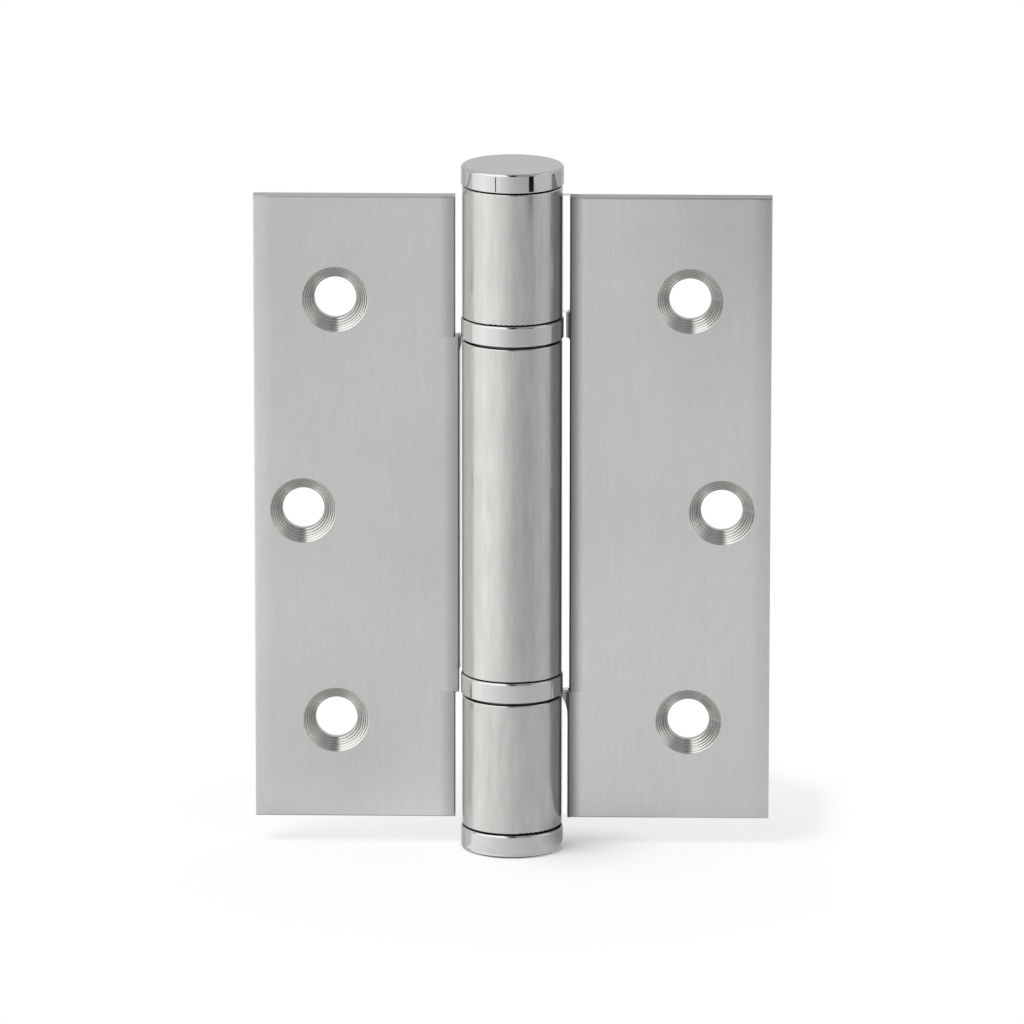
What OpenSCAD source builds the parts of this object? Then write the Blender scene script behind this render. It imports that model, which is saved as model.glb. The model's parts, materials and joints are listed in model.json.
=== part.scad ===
// Three-knuckle bearing butt hinge, open flat, standing on its bottom cap.
// +Z runs up the pin axis, the leaves spread along X, the countersunk faces look towards -Y,
// and the origin is on the pin axis at the underside of the bottom cap. Millimetres.

/* [Leaves] */
// Height of each leaf along the pin
leaf_h = 102; // [90:1:130]
// Thickness of the leaf plate, which is also the wall of the rolled knuckles
leaf_t = 3; // [2.6:0.1:3.4]
// Distance from the pin axis to a leaf's outer edge
leaf_reach = 41.3; // [40:0.1:60]
// How far the leaves' front faces lie behind the pin axis
leaf_setback = 1; // [0.8:0.1:1.6]
// Gap between the barrel and the leaves' inner edges
leaf_gap = 1.15; // [0.9:0.05:1.5]
// Chamfer along the leaves' edges
leaf_chamfer = 0.2; // [0.1:0.05:0.3]
// How far the barrel stands above the leaves' upper edges
leaf_top_inset = 2.3; // [0.5:0.1:4]
// How far the barrel reaches below the leaves' lower edges
leaf_foot_inset = 0.5; // [0.3:0.1:3]

/* [Screw holes] */
// Diameter of the screw holes
screw_hole_d = 6.7; // [5:0.1:7]
// Diameter of the countersinks at the front face
sink_d = 10.6; // [9.5:0.1:11]
// Distance from the pin axis to the upper and lower holes
outer_hole_x = 28.3; // [20:0.1:30]
// Distance from the pin axis to the middle hole
middle_hole_x = 33.5; // [28:0.1:34]
// Height of the middle hole above the leaf's lower edge
middle_hole_z = 50.6; // [45:0.1:56]
// Distance between the upper and the lower hole
outer_hole_pitch = 69.2; // [60:0.1:74]

/* [Barrel] */
// Outside diameter of the knuckles
barrel_d = 16; // [15.4:0.1:17]
// Length of the upper and of the lower knuckle
end_knuckle_len = 21.3; // [18:0.1:26]
// Radius of the rounded edges at the knuckles' lower ends
knuckle_edge = 0.2; // [0.1:0.05:0.4]
// Radius of the rounded edges at the knuckles' upper ends
knuckle_top_edge = 0.3; // [0.1:0.05:0.4]
// Radius of the fillet where the back of a leaf runs into its knuckle
back_fillet = 3; // [1.5:0.1:4]
// Width of the seam where the end of a rolled knuckle meets its leaf
roll_seam = 0.2; // [0.1:0.05:0.3]

/* [Root grooves] */
// Depth of the grooves beside the knuckles
groove_depth = 1.5; // [1:0.1:1.7]
// Width of the groove beside the middle knuckle
middle_groove_w = 0.45; // [0.3:0.05:0.7]
// Width of the groove beside the lower knuckle
lower_groove_w = 0.9; // [0.6:0.05:1]
// Height of the full-thickness bridge at the closed end of a groove
groove_bridge = 0.7; // [0.5:0.1:2]
// Radius of the sweep by which a groove opens from its closed end
groove_sweep = 6; // [3:0.5:10]
// Clearance between a leaf's lug and the bearing ring beside it
lug_clear = 0.35; // [0.25:0.05:0.6]
// Radius of the fillets by which a lug runs into its leaf's inner edge
lug_fillet = 0.4; // [0.2:0.05:0.5]

/* [Caps and rings] */
// How far the caps and rings stand proud of the knuckles, radially
trim_proud = 0.2; // [0.1:0.05:0.4]
// Height of the top cap above the barrel
top_cap_h = 3.3; // [2.5:0.1:6]
// Height of the bottom cap below the barrel
bottom_cap_h = 4; // [2.5:0.1:6]
// Radius of the caps' rounded outer edge
cap_round = 0.5; // [0.3:0.1:1]
// Radius of the rounded upper edges of the rings and of the bottom cap
rim_round = 0.4; // [0.2:0.05:0.5]
// Radius of the sharp edges of caps and rings
trim_edge = 0.15; // [0.1:0.05:0.25]
// Height of the seam left open between a cap's rim and its knuckle
cap_seam = 0.2; // [0.1:0.05:0.3]
// Height of the seam left open between a ring's rim and the knuckle above it
ring_seam = 0.1; // [0.05:0.05:0.2]
// How far the seams reach in from the faces of caps and rings
seam_reach = 0.5; // [0.35:0.05:0.55]
// Length of the caps' spigots inside the barrel
spigot_len = 3; // [2:0.5:6]

/* [Bearings] */
// Height of a bearing ring
ring_h = 3.4; // [3:0.1:4.5]
// Open gap below a bearing ring
ring_gap = 0.4; // [0.2:0.05:0.5]
// Wall thickness of a bearing ring
ring_wall = 0.8; // [0.6:0.1:1]
// Thickness of a bearing race
race_t = 0.9; // [0.8:0.05:1]
// Depth of the ball track in a race
track_depth = 0.2; // [0.1:0.05:0.25]
// Thickness of a ball cage
cage_t = 1; // [0.7:0.1:1.2]
// Smallest gap between neighbouring balls
ball_gap = 0.48; // [0.4:0.02:1.2]

/* [Pin and bushes] */
// Wall thickness of the sleeves and bushes round the pin
sleeve_wall = 1; // [0.8:0.1:1.2]
// Length of each bush in the middle knuckle
bush_len = 14; // [8:1:20]
// Chamfer on the pin's ends
pin_chamfer = 0.6; // [0.3:0.1:1]

/* [Clearances] */
// Radial clearance of pressed pieces
press_clear = 0.02; // [0.01:0.01:0.03]
// Radial clearance between the pin and what turns on it
run_clear = 0.05; // [0.03:0.01:0.08]
// Radial clearance between bearing pieces that pass each other
pass_clear = 0.25; // [0.2:0.05:0.4]
// Play left between a ball and each track, and at each end of the pin
end_play = 0.02; // [0.01:0.01:0.05]
// Radial clearance between a ball and its pocket in the cage
pocket_clear = 0.08; // [0.04:0.02:0.12]

/* [Hidden] */

$fn = 96;
edge_fn = 32;
cut = 1; // overshoot of cutting bodies

// Radii about the pin axis
barrel_r = barrel_d / 2;
bore_r = barrel_r - leaf_t;
wall_mid_r = barrel_r - leaf_t / 2;
trim_r = barrel_r + trim_proud;
sleeve_r = bore_r - press_clear;
pin_r = sleeve_r - sleeve_wall - run_clear;
ring_bore_r = trim_r - ring_wall;
race_bore_r = pin_r + pass_clear;
fixed_race_r = ring_bore_r - press_clear;
free_race_r = ring_bore_r - pass_clear;
track_r = (race_bore_r + free_race_r) / 2;

// Heights above the underside of the bottom cap
barrel_len = leaf_h + leaf_top_inset + leaf_foot_inset;
bearing_h = ring_h + ring_gap;
middle_knuckle_len = barrel_len - 2 * end_knuckle_len - 2 * bearing_h;
lower_knuckle_z = bottom_cap_h;
lower_bearing_z = lower_knuckle_z + end_knuckle_len;
middle_knuckle_z = lower_bearing_z + bearing_h;
upper_bearing_z = middle_knuckle_z + middle_knuckle_len;
upper_knuckle_z = upper_bearing_z + bearing_h;
top_cap_z = upper_knuckle_z + end_knuckle_len;
leaf_z = lower_knuckle_z + leaf_foot_inset;
leaf_top_z = leaf_z + leaf_h;

// Leaf and root
leaf_back_y = leaf_setback + leaf_t;
groove_floor_y = leaf_setback + groove_depth;
inner_edge_x = barrel_r + leaf_gap;
lug_edge_x = trim_r + lug_clear;
lug_fillet_r = min(lug_fillet, inner_edge_x - lug_edge_x);
root_lap = 2 * leaf_chamfer; // how far a root overlaps the plate, past its chamfers
fillet_bite = 0.03; // how far the back fillet's arc runs into the barrel

// Balls
ball_r = bearing_h / 2 - race_t + track_depth - end_play;
ball_count = floor(2 * PI * track_r / (2 * ball_r + ball_gap));

STEEL = [0.74, 0.74, 0.72];
POLISHED = [0.82, 0.82, 0.81];
BRONZE = [0.72, 0.52, 0.3];

// ---- shared shapes ----

// Half section of a ring or disc from radius ri to ro, with its two outer edges rounded
module rim_section(ri, ro, h, low_edge, high_edge) {
    translate([ri, 0]) square([ro - ri - max(low_edge, high_edge), h]);
    translate([ri, low_edge]) square([ro - ri, h - low_edge - high_edge]);
    translate([ri, 0]) square([ro - ri - low_edge, low_edge]);
    translate([ri, h - high_edge]) square([ro - ri - high_edge, high_edge]);
    translate([ro - low_edge, low_edge]) circle(low_edge, $fn = edge_fn);
    translate([ro - high_edge, h - high_edge]) circle(high_edge, $fn = edge_fn);
}

// Plain tube standing on z
module tube(z, h, ro, ri) {
    translate([0, 0, z]) difference() {
        cylinder(h = h, r = ro);
        translate([0, 0, -cut]) cylinder(h = h + 2 * cut, r = ri);
    }
}

// ---- leaves: drawn on the +X side of the axis ----

// Leaf plate with chamfers along its four edges
module leaf_plate() {
    w = leaf_reach - inner_edge_x;
    intersection() {
        translate([0, 0, leaf_z]) linear_extrude(leaf_h)
            chamfered_rectangle(inner_edge_x, leaf_setback, w, leaf_t);
        translate([inner_edge_x - cut, 0, 0]) rotate([90, 0, 90]) linear_extrude(w + 2 * cut)
            chamfered_rectangle(leaf_setback, leaf_z, leaf_t, leaf_h);
    }
}

module chamfered_rectangle(x, y, w, h) {
    c = leaf_chamfer;
    translate([x, y]) polygon([
        [c, 0], [w - c, 0], [w, c], [w, h - c],
        [w - c, h], [c, h], [0, h - c], [0, c]
    ]);
}

// Section across the axis of the root that joins a plate to its knuckle:
// its back runs into the knuckle through a concave fillet, which ends just inside the barrel
module root_section() {
    centre_distance = barrel_r + back_fillet - fillet_bite;
    fillet_centre = [
        sqrt(pow(centre_distance, 2) - pow(leaf_back_y + back_fillet, 2)),
        leaf_back_y + back_fillet
    ];
    tangent = fillet_centre * barrel_r / centre_distance;
    plate_x = max(fillet_centre.x, inner_edge_x + root_lap);
    difference() {
        polygon([
            [sqrt(pow(wall_mid_r, 2) - pow(leaf_setback, 2)), leaf_setback],
            [inner_edge_x + root_lap, leaf_setback],
            [inner_edge_x + root_lap, leaf_back_y],
            [plate_x, leaf_back_y],
            [fillet_centre.x, leaf_back_y],
            tangent,
            tangent * wall_mid_r / barrel_r
        ]);
        translate(fillet_centre) circle(back_fillet);
    }
}

// Groove in the front face beside a knuckle, from low to high. Its front edge is at edge_x.
// A closed end sweeps in towards the barrel along an arc, and low_fillet rounds the corner
// at the groove's lower end.
module root_groove(low, high, edge_x, closed_top, low_fillet = 0) {
    w = edge_x - barrel_r;
    sweep_len = sqrt(pow(groove_sweep, 2) - pow(groove_sweep - w, 2));
    straight_top = closed_top ? high - sweep_len : high;
    difference() {
        translate([0, groove_floor_y, 0]) rotate([90, 0, 0]) linear_extrude(groove_depth + cut) {
            difference() {
                translate([wall_mid_r, low]) square([edge_x - wall_mid_r, straight_top - low]);
                if (low_fillet > 0) translate([edge_x, low]) mirror([1, 0]) corner(low_fillet, cut);
            }
            if (closed_top) intersection() {
                translate([wall_mid_r, straight_top - cut])
                    square([edge_x - wall_mid_r, sweep_len + cut]);
                translate([edge_x - groove_sweep, straight_top]) circle(groove_sweep);
            }
        }
        translate([0, 0, low - cut]) cylinder(h = high - low + 2 * cut, r = barrel_r);
    }
}

// Concave fillet of radius r in the corner between the axes, backed by a strip of width lap
// on the -X side and below
module corner(r, lap) {
    difference() {
        translate([-lap, -lap]) square(r + lap);
        translate([r, r]) circle(r, $fn = edge_fn);
    }
}

// Knuckle rolled from the plate, with its bore
module knuckle(z, len) {
    translate([0, 0, z]) rotate_extrude()
        rim_section(bore_r, barrel_r, len, knuckle_edge, knuckle_top_edge);
}

// Seam where the end of a knuckle's roll meets the root, at the groove's floor
module seam_cut(z, len) {
    low_x = bore_r - leaf_t / 2;
    high_x = barrel_r - roll_seam / 2;
    translate([low_x, groove_floor_y - roll_seam, z - cut])
        cube([high_x - low_x, roll_seam, len + 2 * cut]);
}

// Root between heights low and high, kept out of the knuckle's bore
module root(low, high) {
    translate([0, 0, low]) linear_extrude(high - low) root_section();
}

// Lug of full thickness that reaches in beside a bearing ring between two heights,
// with a fillet below it
module lug(low, high) {
    translate([lug_edge_x, leaf_setback, low])
        cube([inner_edge_x + root_lap - lug_edge_x, leaf_t, high - low]);
    translate([inner_edge_x, leaf_back_y, low]) rotate([90, 0, 0]) linear_extrude(leaf_t)
        rotate(180) corner(lug_fillet_r, root_lap);
}

// Countersunk screw hole through a leaf
module screw_hole(x, z) {
    sink_depth = (sink_d - screw_hole_d) / 2;
    translate([x, leaf_setback, z]) rotate([-90, 0, 0]) {
        translate([0, 0, -cut]) cylinder(h = leaf_t + 2 * cut, d = screw_hole_d);
        translate([0, 0, -cut])
            cylinder(h = sink_depth + cut, r1 = sink_d / 2 + cut, r2 = screw_hole_d / 2);
    }
}

module screw_holes() {
    z = leaf_z + middle_hole_z;
    screw_hole(middle_hole_x, z);
    for (side = [-1, 1])
        screw_hole(outer_hole_x, z + side * outer_hole_pitch / 2);
}

// Frame leaf: one plate with the upper and the lower knuckle
module right_leaf() {
    color(STEEL) difference() {
        union() {
            leaf_plate();
            knuckle(lower_knuckle_z, end_knuckle_len);
            knuckle(upper_knuckle_z, end_knuckle_len);
            root(leaf_z, lower_bearing_z);
            root(upper_knuckle_z, leaf_top_z);
            lug(upper_bearing_z, upper_knuckle_z);
        }
        root_groove(leaf_z - cut, lower_bearing_z - groove_bridge, barrel_r + lower_groove_w, true);
        root_groove(upper_knuckle_z, leaf_top_z + cut, inner_edge_x, false, lug_fillet_r);
        seam_cut(lower_knuckle_z, end_knuckle_len);
        seam_cut(upper_knuckle_z, end_knuckle_len);
        screw_holes();
    }
}

// Door leaf: one plate with the middle knuckle
module left_leaf() {
    color(STEEL) mirror([1, 0, 0]) difference() {
        union() {
            leaf_plate();
            knuckle(middle_knuckle_z, middle_knuckle_len);
            root(middle_knuckle_z, upper_bearing_z);
            lug(lower_bearing_z, middle_knuckle_z);
        }
        root_groove(middle_knuckle_z, upper_bearing_z - groove_bridge,
                    barrel_r + middle_groove_w, true);
        seam_cut(middle_knuckle_z, middle_knuckle_len);
        screw_holes();
    }
}

// ---- pin, caps and sleeves ----

pin_low = lower_knuckle_z + spigot_len + end_play;
pin_high = top_cap_z - spigot_len - end_play;

module hinge_pin() {
    len = pin_high - pin_low;
    color(POLISHED) translate([0, 0, pin_low]) rotate_extrude()
        polygon([
            [0, 0], [pin_r - pin_chamfer, 0], [pin_r, pin_chamfer],
            [pin_r, len - pin_chamfer], [pin_r - pin_chamfer, len], [0, len]
        ]);
}

// Cap seated on z = 0 with its outer face up and its spigot below. Its rim stands clear
// of the knuckle by a narrow seam, above which its edge has radius seam_edge.
module cap(h, seam_edge) {
    rotate_extrude() {
        translate([0, cap_seam]) rim_section(0, trim_r, h - cap_seam, seam_edge, cap_round);
        square([trim_r - seam_reach, h / 2]);
    }
    translate([0, 0, -spigot_len]) cylinder(h = spigot_len, r = sleeve_r);
}

module top_cap() {
    color(POLISHED) translate([0, 0, top_cap_z]) cap(top_cap_h, trim_edge);
}

module bottom_cap() {
    color(POLISHED) translate([0, 0, bottom_cap_h]) mirror([0, 0, 1]) cap(bottom_cap_h, rim_round);
}

// Sleeve or bush that lines a knuckle round the pin
module sleeve(z, len) {
    color(BRONZE) tube(z, len, sleeve_r, sleeve_r - sleeve_wall);
}

module upper_knuckle_sleeve() {
    sleeve(upper_knuckle_z, end_knuckle_len - spigot_len);
}

module lower_knuckle_sleeve() {
    sleeve(lower_knuckle_z + spigot_len, end_knuckle_len - spigot_len);
}

module middle_knuckle_upper_bush() {
    sleeve(upper_bearing_z - bush_len, bush_len);
}

module middle_knuckle_lower_bush() {
    sleeve(middle_knuckle_z, bush_len);
}

// ---- bearings: z is the underside of the bearing ----

// Ring that hangs from the knuckle above it, with a narrow seam at its rim
module bearing_ring(z) {
    color(POLISHED) translate([0, 0, z + ring_gap]) rotate_extrude() {
        rim_section(ring_bore_r, trim_r, ring_h - ring_seam, trim_edge, rim_round);
        translate([ring_bore_r, ring_h / 2])
            square([trim_r - seam_reach - ring_bore_r, ring_h / 2]);
    }
}

// Circle about which a bearing's balls and tracks are turned
module ball_track(z, r) {
    translate([0, 0, z + bearing_h / 2]) rotate_extrude() translate([track_r, 0]) circle(r);
}

// Race at the top or the bottom of the bearing, with its ball track
module race(z, outer_r, upper) {
    color(STEEL) difference() {
        tube(upper ? z + bearing_h - race_t : z, race_t, outer_r, race_bore_r);
        ball_track(z, ball_r + end_play);
    }
}

// Angle between neighbouring balls
ball_step = 360 / ball_count;

module ball_cage(z) {
    pocket_r = ball_r + pocket_clear;
    low = z + (bearing_h - cage_t) / 2;
    color(BRONZE) difference() {
        tube(low, cage_t, free_race_r - pass_clear / 2, race_bore_r + pass_clear / 2);
        for (i = [0 : ball_count - 1])
            rotate([0, 0, i * ball_step]) translate([track_r, 0, low - cut])
                cylinder(h = cage_t + 2 * cut, r = pocket_r, $fn = edge_fn);
    }
}

module balls(z) {
    color(POLISHED) for (i = [0 : ball_count - 1])
        rotate([0, 0, i * ball_step]) translate([track_r, 0, z + bearing_h / 2])
            sphere(ball_r, $fn = edge_fn);
}

module upper_bearing_ring() { bearing_ring(upper_bearing_z); }
module upper_bearing_top_race() { race(upper_bearing_z, fixed_race_r, true); }
module upper_bearing_bottom_race() { race(upper_bearing_z, free_race_r, false); }
module upper_ball_cage() { ball_cage(upper_bearing_z); }
module upper_bearing_balls() { balls(upper_bearing_z); }

module lower_bearing_ring() { bearing_ring(lower_bearing_z); }
module lower_bearing_top_race() { race(lower_bearing_z, fixed_race_r, true); }
module lower_bearing_bottom_race() { race(lower_bearing_z, free_race_r, false); }
module lower_ball_cage() { ball_cage(lower_bearing_z); }
module lower_bearing_balls() { balls(lower_bearing_z); }

right_leaf();
left_leaf();
hinge_pin();
top_cap();
bottom_cap();
upper_knuckle_sleeve();
lower_knuckle_sleeve();
middle_knuckle_upper_bush();
middle_knuckle_lower_bush();
upper_bearing_ring();
upper_bearing_top_race();
upper_bearing_bottom_race();
upper_ball_cage();
upper_bearing_balls();
lower_bearing_ring();
lower_bearing_top_race();
lower_bearing_bottom_race();
lower_ball_cage();
lower_bearing_balls();
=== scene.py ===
"""Looks of the three-knuckle bearing butt hinge: brushed leaves with turned countersinks,
satin knuckles, mirror-polished caps and bearing rings, bronze bushes and steel balls."""

import json
import math
from collections import namedtuple
from types import SimpleNamespace

import bpy
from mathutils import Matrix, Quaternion, Vector


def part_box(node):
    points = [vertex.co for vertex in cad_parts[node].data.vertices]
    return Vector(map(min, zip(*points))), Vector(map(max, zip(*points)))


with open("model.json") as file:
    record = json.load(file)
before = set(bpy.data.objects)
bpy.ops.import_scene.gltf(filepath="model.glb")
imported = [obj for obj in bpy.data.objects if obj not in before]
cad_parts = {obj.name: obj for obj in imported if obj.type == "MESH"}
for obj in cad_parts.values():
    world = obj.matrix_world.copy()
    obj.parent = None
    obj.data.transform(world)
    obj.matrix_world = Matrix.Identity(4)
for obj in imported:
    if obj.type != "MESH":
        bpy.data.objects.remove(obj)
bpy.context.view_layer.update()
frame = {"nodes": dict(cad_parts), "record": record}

MM = 0.001


# ---------------------------------------------------------------- the part's own sizes

def hole_centres(side):
    """(x, z) of the three screw holes of one leaf, from the record's screw mounts."""
    mounts = {mount["name"]: mount for mount in frame["record"]["mounts"]}
    pair = mounts[side + "_leaf_outer_screws"]
    x, _, z = pair["pos_m"]
    half = pair["dims"]["spacing_y_mm"] * MM / 2
    middle_x, _, middle_z = mounts[side + "_leaf_middle_screw"]["pos_m"]
    return [(x, z + half), (middle_x, middle_z), (x, z - half)]


def heights(node):
    """Lowest and highest Z of a CAD node."""
    low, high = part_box(node)
    return low.z, high.z


BARREL_R = -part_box("left_leaf")[0].y
TRIM_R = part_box("top_cap")[1].x  # caps and rings
BARREL_FOOT, BARREL_HEAD = heights("right_leaf")  # outer ends of the two outer knuckles
LOWER_RING_TOP = heights("lower_bearing_ring")[1]  # the middle knuckle starts here
UPPER_RING_TOP = heights("upper_bearing_ring")[1]  # and the upper one here
LOWER_KNUCKLE_TOP = heights("lower_bearing_bottom_race")[0]
MIDDLE_KNUCKLE_TOP = heights("upper_bearing_bottom_race")[0]
SEAMS = (BARREL_FOOT, LOWER_RING_TOP, UPPER_RING_TOP, BARREL_HEAD)  # knuckle ends against trim

LEAF_FOOT, LEAF_TOP = heights("left_leaf")
LEAF_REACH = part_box("right_leaf")[1].x  # outer edge, from the pin axis
LEAF_FACE = 1.0 * MM  # front faces, behind the pin axis
LEAF_BACK = 4.0 * MM
SINK_R = 5.3 * MM  # countersink at the front face
GROOVE_FLOOR = 2.5 * MM  # floor of the root grooves, behind the pin axis
INNER_EDGE = 9.15 * MM  # inner edge of a leaf's plate, from the pin axis

# A stretch of height where a plate's inner edge lies nearer to the barrel
Step = namedtuple("Step", "foot head edge")
SPARE = 0.1 * MM  # by which a step passes the end of a plate or knuckle
LOWER_STEP = Step(LEAF_FOOT - SPARE, LOWER_KNUCKLE_TOP + SPARE, 8.9 * MM)
MIDDLE_STEP = Step(LOWER_KNUCKLE_TOP, MIDDLE_KNUCKLE_TOP, 8.45 * MM)


def middle_and_half(step):
    """Height of a step's middle and half of its length."""
    return (step.foot + step.head) / 2, (step.head - step.foot) / 2


MIDDLE_GROOVE, HALF_MIDDLE_GROOVE = middle_and_half(MIDDLE_STEP)


# ---------------------------------------------------------------- node helpers

def plug(tree, value, socket):
    """Links a node's output to the socket, or sets the socket to a plain value."""
    if isinstance(value, bpy.types.NodeSocket):
        tree.links.new(value, socket)
    else:
        socket.default_value = value


def add(tree, kind, wires=None, **settings):
    """Adds a node. wires maps an input's name or number to a value or to another node's output."""
    node = tree.nodes.new(kind)
    for name, value in settings.items():
        setattr(node, name, value)
    for name, value in (wires or {}).items():
        plug(tree, value, node.inputs[name])
    return node


def split(tree, vector):
    """X, Y and Z of a vector."""
    return add(tree, "ShaderNodeSeparateXYZ", {0: vector}).outputs


def calc(tree, operation, a, b=0.0, c=0.0, clamp=False):
    """One Math node; returns its result."""
    node = add(tree, "ShaderNodeMath", {0: a, 1: b, 2: c}, operation=operation, use_clamp=clamp)
    return node.outputs[0]


def combine(tree, operation, values):
    """Several values as one: their MINIMUM, MAXIMUM or product (MULTIPLY)."""
    result = values[0]
    for value in values[1:]:
        result = calc(tree, operation, result, value)
    return result


def apart(tree, value, place):
    """How far value is from place, either way."""
    return calc(tree, "ABSOLUTE", calc(tree, "SUBTRACT", value, place))


def rest_of(tree, share):
    """1 - share."""
    return calc(tree, "SUBTRACT", 1.0, share)


def nearness(tree, distance, width):
    """1 at distance 0, falling evenly to 0 at width."""
    return calc(tree, "SUBTRACT", 1.0, calc(tree, "DIVIDE", distance, width, clamp=True), clamp=True)


def vary(tree, middle, noise, swing, clamp=False):
    """middle + (noise - 0.5) * swing, for a noise about 0.5."""
    return calc(tree, "MULTIPLY_ADD", calc(tree, "SUBTRACT", noise, 0.5), swing, middle, clamp=clamp)


def ease(tree, value, start, end, low=0.0, high=1.0):
    """Smooth step up: low before start, high after end."""
    node = add(tree, "ShaderNodeMapRange",
               {"Value": value, "From Min": start, "From Max": end, "To Min": low, "To Max": high},
               interpolation_type="SMOOTHSTEP")
    return node.outputs["Result"]


def fade(tree, value, start, end, high=1.0, low=0.0):
    """Smooth step down: high before start, low after end."""
    return ease(tree, value, start, end, high, low)


def blend(tree, factor, a, b):
    """Value a where factor is 0, b where it is 1."""
    node = add(tree, "ShaderNodeMix", {"Factor": factor, "A": a, "B": b}, data_type="FLOAT")
    return node.outputs["Result"]


def blend_colour(tree, factor, a, b, how="MIX"):
    """Colour a where factor is 0, b laid on it by the method how where it is 1."""
    node = add(tree, "ShaderNodeMix", data_type="RGBA", blend_type=how)
    for name, value in (("Factor_Float", factor), ("A_Color", a), ("B_Color", b)):
        plug(tree, value, next(s for s in node.inputs if s.identifier == name))
    return next(s for s in node.outputs if s.identifier == "Result_Color")


def tint(tree, colour, tone, swing):
    """Colour times 1 + (tone - 0.5) * 2 * swing: lighter and darker by swing as tone goes 1 to 0."""
    level = vary(tree, 1.0, tone, 2.0 * swing)
    grey = add(tree, "ShaderNodeCombineColor", {0: level, 1: level, 2: level})
    return blend_colour(tree, 1.0, colour, grey.outputs[0], "MULTIPLY")


def noise(tree, vector, scale, detail, roughness=0.5, distortion=0.0):
    """Noise about 0.5 over a vector."""
    return add(tree, "ShaderNodeTexNoise", {"Vector": vector, "Scale": scale, "Detail": detail,
                                            "Roughness": roughness, "Distortion": distortion}).outputs[0]


def noise_along(tree, w, scale, detail):
    """Noise about 0.5 along one value."""
    return add(tree, "ShaderNodeTexNoise", {"W": w, "Scale": scale, "Detail": detail, "Roughness": 0.5},
               noise_dimensions="1D").outputs[0]


def new_group(name, inputs, outputs):
    """Empty shader node group with named sockets; returns the tree and its two end nodes."""
    tree = bpy.data.node_groups.new(name, "ShaderNodeTree")
    kinds = {"v": "NodeSocketVector", "f": "NodeSocketFloat"}
    for label, kind, value in inputs:
        socket = tree.interface.new_socket(label, in_out="INPUT", socket_type=kinds[kind])
        if value is not None:
            socket.default_value = value
    for label in outputs:
        tree.interface.new_socket(label, in_out="OUTPUT", socket_type=kinds["f"])
    return tree, tree.nodes.new("NodeGroupInput").outputs, tree.nodes.new("NodeGroupOutput").inputs


def use(tree, group, wires):
    """Places a node group in a tree; returns its outputs."""
    return add(tree, "ShaderNodeGroup", wires, node_tree=group).outputs


# ---------------------------------------------------------------- shared effects

def make_axis_distance():
    """Distance from an axis: length of (position - point on the axis), with the axis's own
    direction left out by a plane vector such as (1, 1, 0)."""
    tree, i, o = new_group("Distance from an axis",
                           [("Position", "v", None), ("Point", "v", (0, 0, 0)), ("Plane", "v", (1, 1, 0))],
                           ["Distance"])
    offset = add(tree, "ShaderNodeVectorMath", {0: i["Position"], 1: i["Point"]}, operation="SUBTRACT")
    flat = add(tree, "ShaderNodeVectorMath", {0: offset.outputs[0], 1: i["Plane"]}, operation="MULTIPLY")
    length = add(tree, "ShaderNodeVectorMath", {0: flat.outputs[0]}, operation="LENGTH")
    plug(tree, length.outputs["Value"], o["Distance"])
    return tree


def make_brushed_grain():
    """Brushed grain: noise drawn out along Z, Across lines per metre wide and Along per metre long.
    Height is the fine relief and Tone the broader streaks, both about 0.5."""
    tree, i, o = new_group("Brushed grain",
                           [("Position", "v", None), ("Across", "f", 4000.0), ("Along", "f", 60.0)],
                           ["Height", "Tone"])
    scale = add(tree, "ShaderNodeCombineXYZ", {0: i["Across"], 1: i["Across"], 2: i["Along"]})
    place = add(tree, "ShaderNodeVectorMath", {0: i["Position"], 1: scale.outputs[0]}, operation="MULTIPLY")
    plug(tree, noise(tree, place.outputs[0], scale=1.0, detail=3.0, roughness=0.6), o["Height"])
    plug(tree, noise(tree, place.outputs[0], scale=0.3, detail=2.0, roughness=0.55), o["Tone"])
    return tree


def make_turned_rings():
    """Turning marks, Pitch per metre of the distance from the axis: a sine ridge whose phase and
    depth wander with one-dimensional noise. Height and Tone are about 0.5."""
    tree, i, o = new_group("Turned rings",
                           [("Distance", "f", 0.0), ("Pitch", "f", 4000.0)],
                           ["Height", "Tone"])
    w = calc(tree, "MULTIPLY", i["Distance"], i["Pitch"])
    fine = noise_along(tree, w, scale=1.0, detail=2.0)
    broad = noise_along(tree, w, scale=0.45, detail=1.0)
    phase = calc(tree, "MULTIPLY_ADD", w, 2.0 * math.pi, calc(tree, "MULTIPLY", broad, 3.0))
    ridge = calc(tree, "MULTIPLY_ADD", calc(tree, "SINE", phase), 0.5, 0.5)
    plug(tree, blend(tree, 0.35, ridge, fine), o["Height"])
    plug(tree, blend(tree, 0.5, ridge, broad), o["Tone"])
    return tree


def make_edge_wear():
    """Edge wear: 1 at Distance 0 from an edge, falling to 0 over Width, broken up by noise."""
    tree, i, o = new_group("Edge wear",
                           [("Position", "v", None), ("Distance", "f", 0.0),
                            ("Width", "f", 0.0003), ("Break up", "f", 0.5)],
                           ["Wear"])
    near = nearness(tree, i["Distance"], i["Width"])
    patchy = vary(tree, 1.0, noise(tree, i["Position"], scale=900.0, detail=2.0), i["Break up"])
    plug(tree, calc(tree, "MULTIPLY", near, patchy, clamp=True), o["Wear"])
    return tree


def make_handling_marks():
    """Handling marks: slow mottle, about 0.5, for small changes of gloss and tone."""
    tree, i, o = new_group("Handling marks", [("Position", "v", None), ("Scale", "f", 90.0)], ["Mottle"])
    slow = noise(tree, i["Position"], i["Scale"], detail=4.0, roughness=0.6, distortion=0.4)
    plug(tree, slow, o["Mottle"])
    return tree


AXIS_DISTANCE = make_axis_distance()
BRUSHED_GRAIN = make_brushed_grain()
TURNED_RINGS = make_turned_rings()
EDGE_WEAR = make_edge_wear()
HANDLING_MARKS = make_handling_marks()


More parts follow.
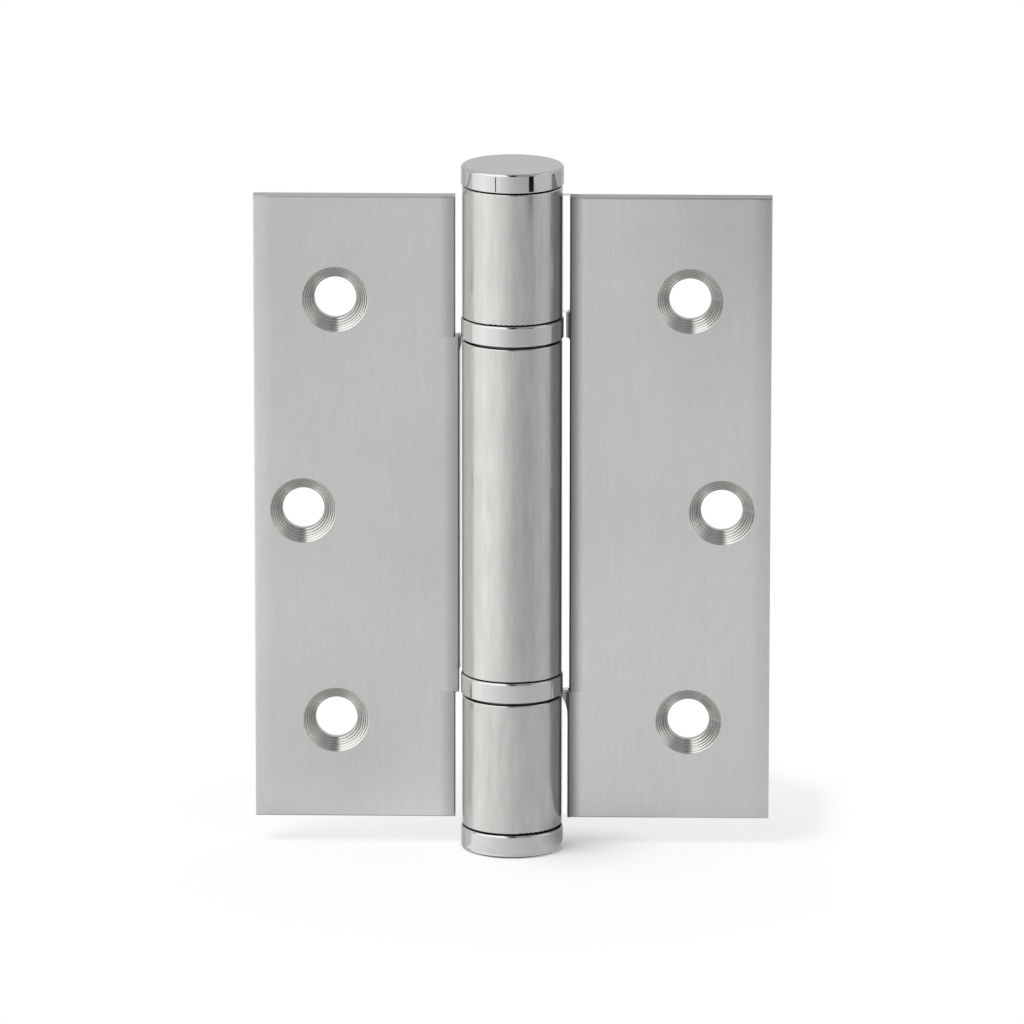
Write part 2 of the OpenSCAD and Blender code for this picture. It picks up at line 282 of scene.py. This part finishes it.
def from_axis(tree, position, point=(0, 0, 0), plane=(1, 1, 0)):
    """Distance from the axis through point, measured in the two directions that plane has; by
    default from the pin's."""
    return use(tree, AXIS_DISTANCE, {"Position": position, "Point": point, "Plane": plane})["Distance"]


def grain(tree, position, across, along):
    """Height and Tone of a brushed surface."""
    return use(tree, BRUSHED_GRAIN, {"Position": position, "Across": across, "Along": along})


def rings(tree, distance, pitch):
    """Height and Tone of a turned surface."""
    return use(tree, TURNED_RINGS, {"Distance": distance, "Pitch": pitch})


def edge_wear(tree, position, distance, width, break_up):
    """Mask of the wear along an edge."""
    wires = {"Position": position, "Distance": distance, "Width": width, "Break up": break_up}
    return use(tree, EDGE_WEAR, wires)["Wear"]


def mottle(tree, position, scale):
    """Handling marks, about 0.5."""
    return use(tree, HANDLING_MARKS, {"Position": position, "Scale": scale})["Mottle"]


# ---------------------------------------------------------------- materials

def blank_material(name):
    """New material without nodes, and its tree."""
    material = bpy.data.materials.new(name)
    material.use_nodes = True
    material.node_tree.nodes.clear()
    return material, material.node_tree


def start_metal(name):
    """New metal material: returns it, its tree, its Principled shader and the object position."""
    material, tree = blank_material(name)
    shader = add(tree, "ShaderNodeBsdfPrincipled", {"Metallic": 1.0})
    add(tree, "ShaderNodeOutputMaterial", {"Surface": shader.outputs[0]})
    position = add(tree, "ShaderNodeTexCoord").outputs["Object"]
    return material, tree, shader, position


def finish_metal(tree, shader, colour, roughness, height, distance):
    """Plugs in a metal's colour and roughness; height, in shares of distance in metres, raises
    the surface through a Bump node."""
    plug(tree, colour, shader.inputs["Base Color"])
    plug(tree, roughness, shader.inputs["Roughness"])
    bump = add(tree, "ShaderNodeBump", {"Height": height, "Distance": distance})
    plug(tree, bump.outputs[0], shader.inputs["Normal"])


def roll_off(tree, distance, width, drop):
    """How far a rolled edge has dropped: drop times the square of (1 - distance / width)."""
    near = nearness(tree, distance, width)
    return calc(tree, "MULTIPLY", calc(tree, "MULTIPLY", near, near), drop)


# What differs between the two leaves:
#   side          1 for the right leaf, -1 for the left one
#   holes         centres of its screw holes
#   brightness    of the plate
#   cast  painted light and shade on the plate at the top outer corner, below the middle and at the foot
#   outer_roll    drop of the outer edge, in hundredths of a millimetre
#   root_shade    painted shade beside the barrel, and where it starts and ends to fade
#   step          where the plate comes nearer to the barrel
#   crease_reach  how far up and down from the middle groove's middle the painted shade line in the crease is
#   strong
#   top_shade     painted shade along the top edge
#   echo          share of the plate's brightness that other pieces mirror; the rest is painted shade in their reflections
LeafLook = namedtuple("LeafLook", "side holes brightness cast outer_roll root_shade step crease_reach "
                                  "top_shade echo")

INNER_ROLL = 30.0  # drop of the inner edges, in hundredths of a millimetre
OUTER_ROLL_WIDTH = 3.2 * MM
INNER_ROLL_WIDTH = 2.6 * MM

PLATE_STEEL = (1.0, 0.993, 0.973)  # times a leaf's brightness
KNUCKLE_STEEL = (0.62, 0.615, 0.6, 1)
SINK_STEEL = (0.64, 0.63, 0.615, 1)
# near-white groove floor: a painted highlight, lit further by the groove lights
GROOVE_HIGHLIGHT_STEEL = (0.97, 0.97, 0.96, 1)
POLISHED_STEEL = (0.66, 0.66, 0.65, 1)
PIN_STEEL = (0.62, 0.62, 0.61, 1)
# greased race steel, darkened further as painted shade in the bearing slots
RACE_STEEL_GREASED_AND_SHADED = (0.16, 0.155, 0.15, 1)
BALL_STEEL = (0.5, 0.5, 0.5, 1)
BRONZE = (0.62, 0.42, 0.20, 1)
BRONZE_PORE = (0.20, 0.12, 0.06, 1)
ROOT_SHADE = (0.12, 0.118, 0.114, 1)
WORN_EDGE = (0.86, 0.86, 0.85, 1)
WORN_RIM = (0.8, 0.8, 0.79, 1)
# painted shade in the inner edge's crease and along the top edge
CREASE_AND_TOP_SHADE = (0.04, 0.04, 0.038, 1)
# painted contact shade
CONTACT_SHADE = (0.05, 0.05, 0.05, 1)
# painted shade inside the barrel and in its seams
BARREL_INSIDE_SHADE = (0.015, 0.015, 0.015, 1)
# painted shade on the trim's faces against the knuckles
JOINT_SHADE = (0.012, 0.012, 0.012, 1)
BLACK = (0.0, 0.0, 0.0, 1)

PLATE_ROUGHNESS = 0.36
KNUCKLE_ROUGHNESS = 0.20
SINK_ROUGHNESS = 0.20
GROOVE_ROUGHNESS = 0.30
POLISHED_ROUGHNESS = 0.055
WORN_RIM_ROUGHNESS = 0.09
JOINT_ROUGHNESS = 0.6
PIN_ROUGHNESS = 0.22
RACE_ROUGHNESS = 0.3
BALL_ROUGHNESS = 0.08
BRONZE_ROUGHNESS = 0.38


def leaf_places(tree, position, look):
    """Where a point lies on a leaf: distances from its edges, and masks of its parts."""
    x, y, z = split(tree, position)
    at = SimpleNamespace(height=z, across=calc(tree, "MULTIPLY", x, look.side))
    at.to_pin = from_axis(tree, position)
    at.knuckle = fade(tree, at.to_pin, BARREL_R + 0.03 * MM, BARREL_R + 0.15 * MM)

    # countersinks and the bores below them, but not the back face
    at.to_hole = combine(tree, "MINIMUM", [from_axis(tree, position, (hole_x, 0, hole_z), (1, 0, 1))
                                           for hole_x, hole_z in look.holes])
    at.sink = calc(tree, "MULTIPLY", fade(tree, at.to_hole, SINK_R - 0.02 * MM, SINK_R + 0.01 * MM),
                   fade(tree, y, LEAF_BACK - 0.10 * MM, LEAF_BACK - 0.04 * MM))
    at.plate = rest_of(tree, calc(tree, "MAXIMUM", at.knuckle, at.sink))

    # distance to the nearest long or short edge of the plate
    middle, half = middle_and_half(look.step)
    on_step = fade(tree, apart(tree, z, middle), half, half + 0.01 * MM)
    inner_edge = blend(tree, on_step, INNER_EDGE, look.step.edge)
    at.to_inner = calc(tree, "SUBTRACT", at.across, inner_edge)
    at.to_outer = calc(tree, "SUBTRACT", LEAF_REACH, at.across)
    at.to_top = calc(tree, "SUBTRACT", LEAF_TOP, z)
    to_foot = calc(tree, "SUBTRACT", z, LEAF_FOOT)
    at.to_edge = combine(tree, "MINIMUM", [at.to_outer, at.to_inner, at.to_top, to_foot])

    # root groove: its floor and ends, between the barrel and the plate's inner edge
    at.groove = combine(tree, "MULTIPLY", [
        ease(tree, y, GROOVE_FLOOR - 0.12 * MM, GROOVE_FLOOR - 0.05 * MM),
        fade(tree, y, LEAF_BACK - 0.3 * MM, LEAF_BACK - 0.1 * MM),
        fade(tree, at.to_inner, 0.02 * MM, 0.06 * MM),
        rest_of(tree, at.knuckle)])
    return at


def painted_plate_light(tree, at, look):
    """Painted light and shade on a plate, about 0.5: the sum of three soft fields over height and
    over the distance from the pin, each times the leaf's own share."""
    top_corner = calc(tree, "MULTIPLY", ease(tree, at.height, 60 * MM, 102 * MM),
                      ease(tree, at.across, 12 * MM, 36 * MM, 0.2, 1.0))
    below_middle = calc(tree, "MULTIPLY", ease(tree, at.height, 4.5 * MM, 9 * MM, 0.2, 1.0),
                        fade(tree, at.height, 30 * MM, 58 * MM))
    foot = calc(tree, "MULTIPLY", fade(tree, at.height, 5 * MM, 42 * MM),
                ease(tree, at.across, 9 * MM, 28 * MM, 0.2, 1.0))
    cast = 0.5
    for field, share in zip((top_corner, below_middle, foot), look.cast):
        cast = calc(tree, "MULTIPLY_ADD", field, share, cast)
    return cast


def painted_crease_and_top_shade(tree, at, look):
    """Painted shade: a dark line in the crease of the inner edge, strong within crease_reach and faint
    beyond it, and a darkening along the top edge, times top_shade."""
    line = fade(tree, calc(tree, "ABSOLUTE", at.to_inner), 0.15 * MM, 0.38 * MM)
    strength = fade(tree, apart(tree, at.height, MIDDLE_GROOVE),
                    look.crease_reach, look.crease_reach + 0.5 * MM, 0.85, 0.1)
    painted_top_shade = calc(tree, "MULTIPLY", fade(tree, at.to_top, 0.1 * MM, 0.4 * MM), look.top_shade)
    return calc(tree, "MAXIMUM", calc(tree, "MULTIPLY", line, strength), painted_top_shade)


def barrel_shade_mask(tree, at):
    """Painted shade: 1 inside the barrel and at the thin seams where a knuckle meets a cap or a ring."""
    inside = fade(tree, at.to_pin, BARREL_R - 0.28 * MM, BARREL_R - 0.10 * MM)
    to_seam = combine(tree, "MINIMUM", [apart(tree, at.height, seam) for seam in SEAMS])
    seam = calc(tree, "MULTIPLY", fade(tree, to_seam, 0.05 * MM, 0.14 * MM), at.knuckle)
    return calc(tree, "MAXIMUM", inside, seam)


def leaf_steel(name, look):
    """Finish of one leaf with its knuckles: plate brushed along the pin, knuckles satin, countersinks
    turned, root groove floors near-white as a painted highlight, and painted light and shade on the plate."""
    material, tree, shader, position = start_metal(name)
    at = leaf_places(tree, position, look)
    plate_grain = grain(tree, position, across=5200.0, along=350.0)
    knuckle_grain = grain(tree, position, across=3000.0, along=500.0)
    sink_rings = rings(tree, at.to_hole, pitch=2900.0)
    marks = mottle(tree, position, scale=60.0)

    # colour of the plate: streaks, painted light and shade in slow fields, painted shade beside the barrel,
    # bright worn edges, and painted shade in the crease and along the top
    steel = tuple(look.brightness * share for share in PLATE_STEEL) + (1,)
    colour = tint(tree, steel, blend(tree, 0.7, plate_grain["Tone"], plate_grain["Height"]), 0.12)
    # painted light and shade over the plate: darker at the top outer corner, lighter below the middle
    colour = tint(tree, colour, painted_plate_light(tree, at, look), 0.5)
    # painted shade beside the barrel: the plate darkens towards its inner edge
    darkening, start, end = look.root_shade
    painted_root_shade = calc(tree, "MULTIPLY", fade(tree, at.to_inner, start, end), darkening)
    colour = blend_colour(tree, painted_root_shade, colour, ROOT_SHADE)
    worn = edge_wear(tree, position, at.to_edge, width=0.35 * MM, break_up=0.6)
    worn = combine(tree, "MULTIPLY", [worn, at.plate, 0.2])
    colour = blend_colour(tree, worn, colour, WORN_EDGE)
    # painted shade: a dark line in the inner edge's crease and along the top edge
    colour = blend_colour(tree, painted_crease_and_top_shade(tree, at, look), colour, CREASE_AND_TOP_SHADE)

    # colour of the other parts
    colour = blend_colour(tree, at.knuckle, colour, tint(tree, KNUCKLE_STEEL, knuckle_grain["Tone"], 0.16))
    colour = blend_colour(tree, at.sink, colour, tint(tree, SINK_STEEL, sink_rings["Tone"], 0.30))
    # groove floor near-white: a painted highlight
    colour = blend_colour(tree, at.groove, colour, GROOVE_HIGHLIGHT_STEEL)
    colour = tint(tree, colour, marks, 0.04)
    # painted shade in reflections: other pieces mirror the plate darker, keeping only echo of its brightness
    painted_dark_in_reflections = calc(tree, "MULTIPLY", add(tree, "ShaderNodeLightPath").outputs["Is Glossy Ray"], at.plate)
    colour = blend_colour(tree, calc(tree, "MULTIPLY", painted_dark_in_reflections, 1.0 - look.echo), colour, BLACK)
    # painted shade inside the barrel and in the seams at the knuckle ends
    colour = blend_colour(tree, barrel_shade_mask(tree, at), colour, BARREL_INSIDE_SHADE)

    rough = vary(tree, PLATE_ROUGHNESS, plate_grain["Tone"], 0.07)
    rough = blend(tree, at.knuckle, rough, vary(tree, KNUCKLE_ROUGHNESS, knuckle_grain["Tone"], 0.14))
    rough = blend(tree, at.sink, rough, SINK_ROUGHNESS)
    rough = blend(tree, at.groove, rough, GROOVE_ROUGHNESS)
    rough = vary(tree, rough, marks, 0.06, clamp=True)

    # relief, in hundredths of a millimetre: the plate's long edges are rolled over in a parabola
    rolled = calc(tree, "ADD", roll_off(tree, at.to_outer, OUTER_ROLL_WIDTH, look.outer_roll),
                  roll_off(tree, at.to_inner, INNER_ROLL_WIDTH, INNER_ROLL))
    height = calc(tree, "SUBTRACT", plate_grain["Height"], rolled)
    height = blend(tree, at.knuckle, height, calc(tree, "MULTIPLY", knuckle_grain["Height"], 0.4))
    height = blend(tree, at.sink, height, calc(tree, "MULTIPLY", sink_rings["Height"], 1.7))

    finish_metal(tree, shader, colour, rough, height, 0.01 * MM)
    return material


def polished_steel(name, low, high, joints, foot_shade=0.0):
    """Mirror-polished trim between two heights: faint buffing swirls, softened wear at both rims
    and a few smears. joints lists (height, depth) of the faces against the knuckles, which are
    painted black inside the rim as painted shade, and foot_shade is the strength of the painted
    contact shade on the edge that it stands on."""
    material, tree, shader, position = start_metal(name)
    z = split(tree, position)[2]
    marks = mottle(tree, position, scale=140.0)
    swirl = mottle(tree, position, scale=420.0)
    above_low = calc(tree, "SUBTRACT", z, low)
    to_rim = calc(tree, "MINIMUM", calc(tree, "SUBTRACT", high, z), above_low)
    wear = edge_wear(tree, position, to_rim, width=0.25 * MM, break_up=0.8)
    # the trim's faces against the knuckles are painted black inside the rim: painted shade
    faces = [fade(tree, apart(tree, z, face), depth, depth + 0.03 * MM) for face, depth in joints]
    within_rim = fade(tree, from_axis(tree, position), TRIM_R - 0.30 * MM, TRIM_R - 0.12 * MM)
    joint_shade = calc(tree, "MULTIPLY", combine(tree, "MAXIMUM", faces), within_rim)
    # painted contact shade along the edge that the trim stands on
    painted_contact_shade = calc(tree, "MULTIPLY", fade(tree, above_low, 0.26 * MM, 0.50 * MM), foot_shade)

    colour = tint(tree, POLISHED_STEEL, marks, 0.03)
    colour = blend_colour(tree, calc(tree, "MULTIPLY", wear, 0.3), colour, WORN_RIM)
    colour = blend_colour(tree, painted_contact_shade, colour, CONTACT_SHADE)
    colour = blend_colour(tree, joint_shade, colour, JOINT_SHADE)
    rough = vary(tree, POLISHED_ROUGHNESS, marks, 0.05)
    rough = blend(tree, wear, rough, WORN_RIM_ROUGHNESS)
    rough = blend(tree, joint_shade, rough, JOINT_ROUGHNESS)
    finish_metal(tree, shader, colour, rough, swirl, 0.004 * MM)
    return material


def ground_steel(name, colour, roughness, pitch):
    """Ground steel under a film of grease: fine rings round the pin, darker in patches."""
    material, tree, shader, position = start_metal(name)
    round_pin = rings(tree, from_axis(tree, position), pitch)
    along_pin = rings(tree, split(tree, position)[2], pitch)
    marks = mottle(tree, position, scale=200.0)
    colour = tint(tree, tint(tree, colour, marks, 0.12), along_pin["Tone"], 0.06)
    height = calc(tree, "ADD", round_pin["Height"], along_pin["Height"])
    rough = vary(tree, roughness, marks, 0.15, clamp=True)
    finish_metal(tree, shader, colour, rough, height, 0.006 * MM)
    return material


def bearing_bronze(name):
    """Sintered bronze: fine pores, slow browning and turning marks round the pin."""
    material, tree, shader, position = start_metal(name)
    pores = add(tree, "ShaderNodeTexVoronoi", {"Vector": position, "Scale": 3800.0}, feature="F1")
    solid = ease(tree, pores.outputs["Distance"], 0.12, 0.4)
    marks = mottle(tree, position, scale=160.0)
    turning = rings(tree, split(tree, position)[2], pitch=2600.0)
    colour = blend_colour(tree, solid, BRONZE_PORE, tint(tree, BRONZE, marks, 0.18))
    height = calc(tree, "ADD", solid, turning["Height"])
    rough = vary(tree, BRONZE_ROUGHNESS, marks, 0.2, clamp=True)
    finish_metal(tree, shader, colour, rough, height, 0.008 * MM)
    return material


def dress(node, material):
    """Puts the material in every slot of a CAD node."""
    slots = frame["nodes"][node].data.materials
    if len(slots) == 0:
        slots.append(material)
    for n in range(len(slots)):
        slots[n] = material


def dress_all():
    """Gives each CAD node its metal."""
    right = LeafLook(side=1, holes=hole_centres("right"), brightness=0.735, cast=(-0.17, 0.08, 0.0),
                     outer_roll=34.0, root_shade=(0.8, 0.3 * MM, 2.5 * MM), step=LOWER_STEP,
                     crease_reach=60 * MM, top_shade=0.28, echo=0.5)
    left = LeafLook(side=-1, holes=hole_centres("left"), brightness=0.70, cast=(-0.06, 0.0, -0.21),
                    outer_roll=20.0, root_shade=(0.24, 0.2 * MM, 2.7 * MM), step=MIDDLE_STEP,
                    crease_reach=HALF_MIDDLE_GROOVE, top_shade=0.14, echo=0.93)
    dress("right_leaf", leaf_steel("brushed steel, right leaf", right))
    dress("left_leaf", leaf_steel("brushed steel, left leaf", left))

    cap_joint = 0.23 * MM
    dress("top_cap", polished_steel("polished steel, top cap", BARREL_HEAD, heights("top_cap")[1],
                                    joints=[(BARREL_HEAD, cap_joint)]))
    dress("bottom_cap", polished_steel("polished steel, bottom cap", heights("bottom_cap")[0], BARREL_FOOT,
                                       joints=[(BARREL_FOOT, cap_joint)], foot_shade=0.85))
    for bearing in ("upper", "lower"):
        ring = bearing + "_bearing_ring"
        low, high = heights(ring)
        dress(ring, polished_steel("polished steel, " + ring.replace("_", " "), low, high,
                                   joints=[(low, 0.10 * MM), (high, 0.13 * MM)]))

    dress("hinge_pin", ground_steel("ground pin steel", PIN_STEEL, PIN_ROUGHNESS, pitch=5000.0))
    # the races are greased and also darkened as painted shade, so the slots at the rings look black
    race_steel = ground_steel("race steel, greased and darkened as painted shade", RACE_STEEL_GREASED_AND_SHADED, RACE_ROUGHNESS, pitch=7000.0)
    ball_steel = ground_steel("ball steel", BALL_STEEL, BALL_ROUGHNESS, pitch=900.0)
    bronze = bearing_bronze("bearing bronze")
    for bearing in ("upper", "lower"):
        dress(bearing + "_bearing_top_race", race_steel)
        dress(bearing + "_bearing_bottom_race", race_steel)
        dress(bearing + "_bearing_balls", ball_steel)
        dress(bearing + "_ball_cage", bronze)
        dress(bearing + "_knuckle_sleeve", bronze)
        dress("middle_knuckle_" + bearing + "_bush", bronze)


# ---------------------------------------------------------------- camera

VIEW_DISTANCE = 1.6761
VIEW_TURN = math.radians(1.28)  # towards +X
VIEW_PITCH = math.radians(13.65)
VIEW_ROLL = math.radians(0.05)
LENS = 368.5  # focal length in millimetres, for a picture 36 mm wide
AIM = Vector((-0.028 * MM, 0, 55.30 * MM))


def make_camera():
    """Long lens a little above the hinge, looking down at its front."""
    lens = bpy.data.cameras.new("camera")
    lens.sensor_width = 36.0
    lens.lens = LENS
    lens.clip_end = 100.0
    camera = bpy.data.objects.new("camera", lens)
    bpy.context.scene.collection.objects.link(camera)
    ahead = Vector((-math.sin(VIEW_TURN) * math.cos(VIEW_PITCH),
                    math.cos(VIEW_TURN) * math.cos(VIEW_PITCH), -math.sin(VIEW_PITCH)))
    camera.location = AIM - ahead * VIEW_DISTANCE
    camera.rotation_mode = "QUATERNION"
    camera.rotation_quaternion = ahead.to_track_quat("-Z", "Y") @ Quaternion((0, 0, 1), VIEW_ROLL)
    bpy.context.scene.camera = camera


# ---------------------------------------------------------------- studio

# Brightness that polished steel meets at its own height, by the azimuth in degrees from the
# front, right positive
SURROUNDINGS = [
    (-180, 0.80), (-158, 0.62), (-138, 0.53), (-122, 0.73), (-108, 0.74), (-101, 1.03),
    (-90, 1.10), (-66, 1.19), (-48, 1.08), (-34, 1.05), (-20, 0.88), (-6, 0.72),
    (8, 0.60), (20, 0.56), (34, 0.51), (52, 0.53), (66, 0.60), (82, 0.62),
    (91, 0.60), (104, 0.55), (122, 0.50), (140, 0.50),
    (156, 0.56), (168, 0.72), (180, 0.80),
]
RAMP_SCALE = 1.25  # a colour ramp holds 0 to 1

# and elsewhere
CEILING_LEFT = 1.40
CEILING_RIGHT = 0.36
CEILING_FAR_RIGHT = 0.95
CEILING_BACK = 0.63
FLOOR_LEVEL = 1.15
STRAIGHT_DOWN = 0.35
CAMERA_STRIP = 0.03

MATT_LIGHT = 0.62  # surroundings of everything that doesn't mirror them


def azimuth_of(tree, x, y):
    """Angle from the front, -Y, in radians, right positive."""
    return calc(tree, "ARCTAN2", x, calc(tree, "MULTIPLY", y, -1.0))


def fill_ramp(ramp, table, scale):
    """Fills a colour ramp from (azimuth, level) pairs; levels are stored as shares of scale. The
    ramp's first two stops are already at both ends."""
    for n, (azimuth, level) in enumerate(table):
        if n == 0:
            stop = ramp.elements[0]
        elif n == len(table) - 1:
            stop = ramp.elements[len(ramp.elements) - 1]
        else:
            stop = ramp.elements.new((azimuth + 180.0) / 360.0)
        share = level / scale
        stop.color = (share, share, share, 1)


def studio_level(tree):
    """Brightness in each direction: the band of SURROUNDINGS at the hinge's height, a ceiling
    that is bright on the left and dim on the right, and a white floor."""
    # x, y and z are parts of a direction of length 1
    x, y, z = split(tree, add(tree, "ShaderNodeTexCoord").outputs["Generated"])
    turn = calc(tree, "MULTIPLY_ADD", azimuth_of(tree, x, y), 0.5 / math.pi, 0.5)
    ramp = add(tree, "ShaderNodeValToRGB", {"Fac": turn})
    fill_ramp(ramp.color_ramp, SURROUNDINGS, RAMP_SCALE)
    band = calc(tree, "MULTIPLY", ramp.outputs["Color"], RAMP_SCALE)
    above = blend(tree, ease(tree, x, -0.22, -0.10), CEILING_LEFT, CEILING_RIGHT)
    above = blend(tree, ease(tree, x, 0.60, 0.95), above, CEILING_FAR_RIGHT)
    above = blend(tree, ease(tree, y, -0.02, 0.15), above, CEILING_BACK)
    level = blend(tree, ease(tree, z, 0.02, 0.16), band, above)
    level = blend(tree, fade(tree, z, -0.62, -0.32), level, FLOOR_LEVEL)
    level = blend(tree, fade(tree, z, -0.94, -0.80), level, STRAIGHT_DOWN)
    # the dark strip of the camera and its stand, in front and above: at rest and from the front
    # only rounded edges show it
    strip = combine(tree, "MULTIPLY", [fade(tree, apart(tree, x, 0.05), 0.09, 0.12),
                                       ease(tree, z, 0.20, 0.24), fade(tree, y, -0.35, -0.3)])
    return blend(tree, strip, level, CAMERA_STRIP)


def make_world():
    """Studio surroundings: plain white to the camera, an even level on matt things, and the
    studio's own levels in what polished steel mirrors."""
    world = bpy.data.worlds.new("studio")
    bpy.context.scene.world = world
    world.use_nodes = True
    world.cycles.sampling_method = "NONE"
    tree = world.node_tree
    tree.nodes.clear()
    ray = add(tree, "ShaderNodeLightPath").outputs
    strength = blend(tree, ray["Is Glossy Ray"], MATT_LIGHT, studio_level(tree))
    strength = blend(tree, ray["Is Camera Ray"], strength, 1.0)
    light = add(tree, "ShaderNodeBackground", {"Color": (1, 1, 1, 1), "Strength": strength})
    add(tree, "ShaderNodeOutputWorld", {"Surface": light.outputs[0]})


def flat_piece(name, corners, material):
    """One flat face with its material, placed in the scene."""
    mesh = bpy.data.meshes.new(name)
    mesh.from_pydata(corners, [], [tuple(range(len(corners)))])
    mesh.materials.append(material)
    piece = bpy.data.objects.new(name, mesh)
    bpy.context.scene.collection.objects.link(piece)
    return piece


def make_floor():
    """White floor: takes the hinge's shadow near it, lightened by painted light, and is plain white further
    off.
    """
    material, tree = blank_material("white floor")
    position = add(tree, "ShaderNodeTexCoord").outputs["Object"]
    to_right = split(tree, position)[0]
    far = calc(tree, "MAXIMUM", ease(tree, from_axis(tree, position), 40 * MM, 70 * MM),
               ease(tree, to_right, 36 * MM, 56 * MM))
    from_foot = from_axis(tree, position, (10 * MM, -4 * MM, 0))
    # painted light on the floor: a glow mixed over the real shadow, a share of 0.15 beside the foot rising
    # to 0.69 further off, and plain white far off and to the right
    painted_light_share = calc(tree, "MAXIMUM", far, ease(tree, from_foot, 2 * MM, 18 * MM, 0.15, 0.69))
    ray = add(tree, "ShaderNodeLightPath").outputs
    seen = combine(tree, "MAXIMUM", [ray["Is Camera Ray"], ray["Is Glossy Ray"], ray["Is Transmission Ray"]])
    matt = add(tree, "ShaderNodeBsdfDiffuse", {"Color": (0.93, 0.93, 0.93, 1)})
    glow = add(tree, "ShaderNodeEmission", {"Color": (1, 1, 1, 1), "Strength": 1.0})
    both = add(tree, "ShaderNodeMixShader",
               {0: calc(tree, "MULTIPLY", painted_light_share, seen), 1: matt.outputs[0], 2: glow.outputs[0]})
    add(tree, "ShaderNodeOutputMaterial", {"Surface": both.outputs[0]})
    half = 6.0
    corners = [(-half, -half, 0), (half, -half, 0), (half, half, 0), (-half, half, 0)]
    floor = flat_piece("floor", corners, material)
    floor.visible_glossy = False


def make_lamp():
    """One broad soft lamp overhead, in front and to the left."""
    lamp = bpy.data.lights.new("soft box", "AREA")
    lamp.shape = "DISK"
    lamp.size = 0.9
    lamp.energy = 11.0
    box = bpy.data.objects.new("soft box", lamp)
    bpy.context.scene.collection.objects.link(box)
    box.location = (-0.55, -0.45, 1.2)
    box.rotation_mode = "QUATERNION"
    box.rotation_quaternion = (-box.location).to_track_quat("-Z", "Y")
    box.visible_glossy = False
    box.visible_camera = False


def standing(azimuth, width, low, high, distance):
    """Corners of an upright card square to the direction of azimuth from the pin."""
    a = math.radians(azimuth)
    out = Vector((math.sin(a), -math.cos(a), 0)) * distance
    side = Vector((math.cos(a), math.sin(a), 0)) * (width / 2)
    corners = [out - side, out + side, out + side, out - side]
    return [(c.x, c.y, z) for c, z in zip(corners, (low, low, high, high))]


def lying(start, end, near, far):
    """Rim of a flat ring sector round the pin, just above the floor, from azimuth start to end."""
    steps = 12
    height = 0.4 * MM
    turns = [math.radians(start + (end - start) * n / steps) for n in range(steps + 1)]
    return [(near * math.sin(a), -near * math.cos(a), height) for a in turns] + \
           [(far * math.sin(a), -far * math.cos(a), height) for a in reversed(turns)]


def in_groove(side, edge, low, high):
    """Corners of a narrow card in the mouth of a root groove, facing the groove's floor."""
    clear = 0.02 * MM
    y = LEAF_FACE + 0.05 * MM
    x0, x1 = sorted((side * (BARREL_R + clear), side * (edge - clear)))
    return [(x0, y, low), (x0, y, high), (x1, y, high), (x1, y, low)]


def make_card(name, corners, start, end=None, turn=(0, 1), single=False):
    """Card near the hinge, seen only by polished steel. Its grey level goes from start to end
    between the two azimuths of turn; a single one is clear from behind."""
    material, tree = blank_material(name)
    x, y, _ = split(tree, add(tree, "ShaderNodeTexCoord").outputs["Object"])
    level = ease(tree, azimuth_of(tree, x, y), math.radians(turn[0]), math.radians(turn[1]),
                 start, start if end is None else end)
    face = add(tree, "ShaderNodeEmission", {"Color": (1, 1, 1, 1), "Strength": level})
    if single:
        behind = add(tree, "ShaderNodeNewGeometry").outputs["Backfacing"]
        clear = add(tree, "ShaderNodeBsdfTransparent")
        face = add(tree, "ShaderNodeMixShader", {0: behind, 1: face.outputs[0], 2: clear.outputs[0]})
    add(tree, "ShaderNodeOutputMaterial", {"Surface": face.outputs[0]})
    card = flat_piece(name, corners, material)
    card.visible_camera = False
    card.visible_diffuse = False
    card.visible_shadow = False
    card.visible_transmission = False


def make_cards():
    """Black and pale cards for the caps, rings and knuckles to mirror, and a light in each groove."""
    card_foot = 86.3 * MM
    make_card("black card", standing(42.5, 21 * MM, card_foot, 128 * MM, 107 * MM), 0.01)
    make_card("thin black card", standing(-35.5, 4.4 * MM, card_foot, 93 * MM, 107 * MM), 0.01)
    make_card("pale card", standing(72.5, 106 * MM, 84.5 * MM, 96 * MM, 120 * MM), 0.71)
    near, step, far = 9 * MM, 24 * MM, 118 * MM
    make_card("pale floor, near", lying(-70, 45, near, step), 1.09, 0.62, (-85, 40))
    make_card("pale floor", lying(-70, 85, step, far), 1.09, 0.62, (-85, 40))
    make_card("shade on the floor", lying(45, 170, near, step), 0.66, 0.30, (45, 104))
    light = 1.3
    make_card("upper groove light", in_groove(1, INNER_EDGE, UPPER_RING_TOP - 0.3 * MM, LEAF_TOP - 0.1 * MM),
              light, single=True)
    make_card("lower groove light", in_groove(1, LOWER_STEP.edge, BARREL_FOOT, LOWER_KNUCKLE_TOP + 0.7 * MM),
              light, single=True)
    make_card("middle groove light",
              in_groove(-1, MIDDLE_STEP.edge, LOWER_RING_TOP - 0.3 * MM, MIDDLE_KNUCKLE_TOP + 0.3 * MM),
              light, single=True)


dress_all()
make_camera()
make_world()
make_floor()
make_lamp()
make_cards()

scene = bpy.context.scene
scene.view_settings.view_transform = "Standard"
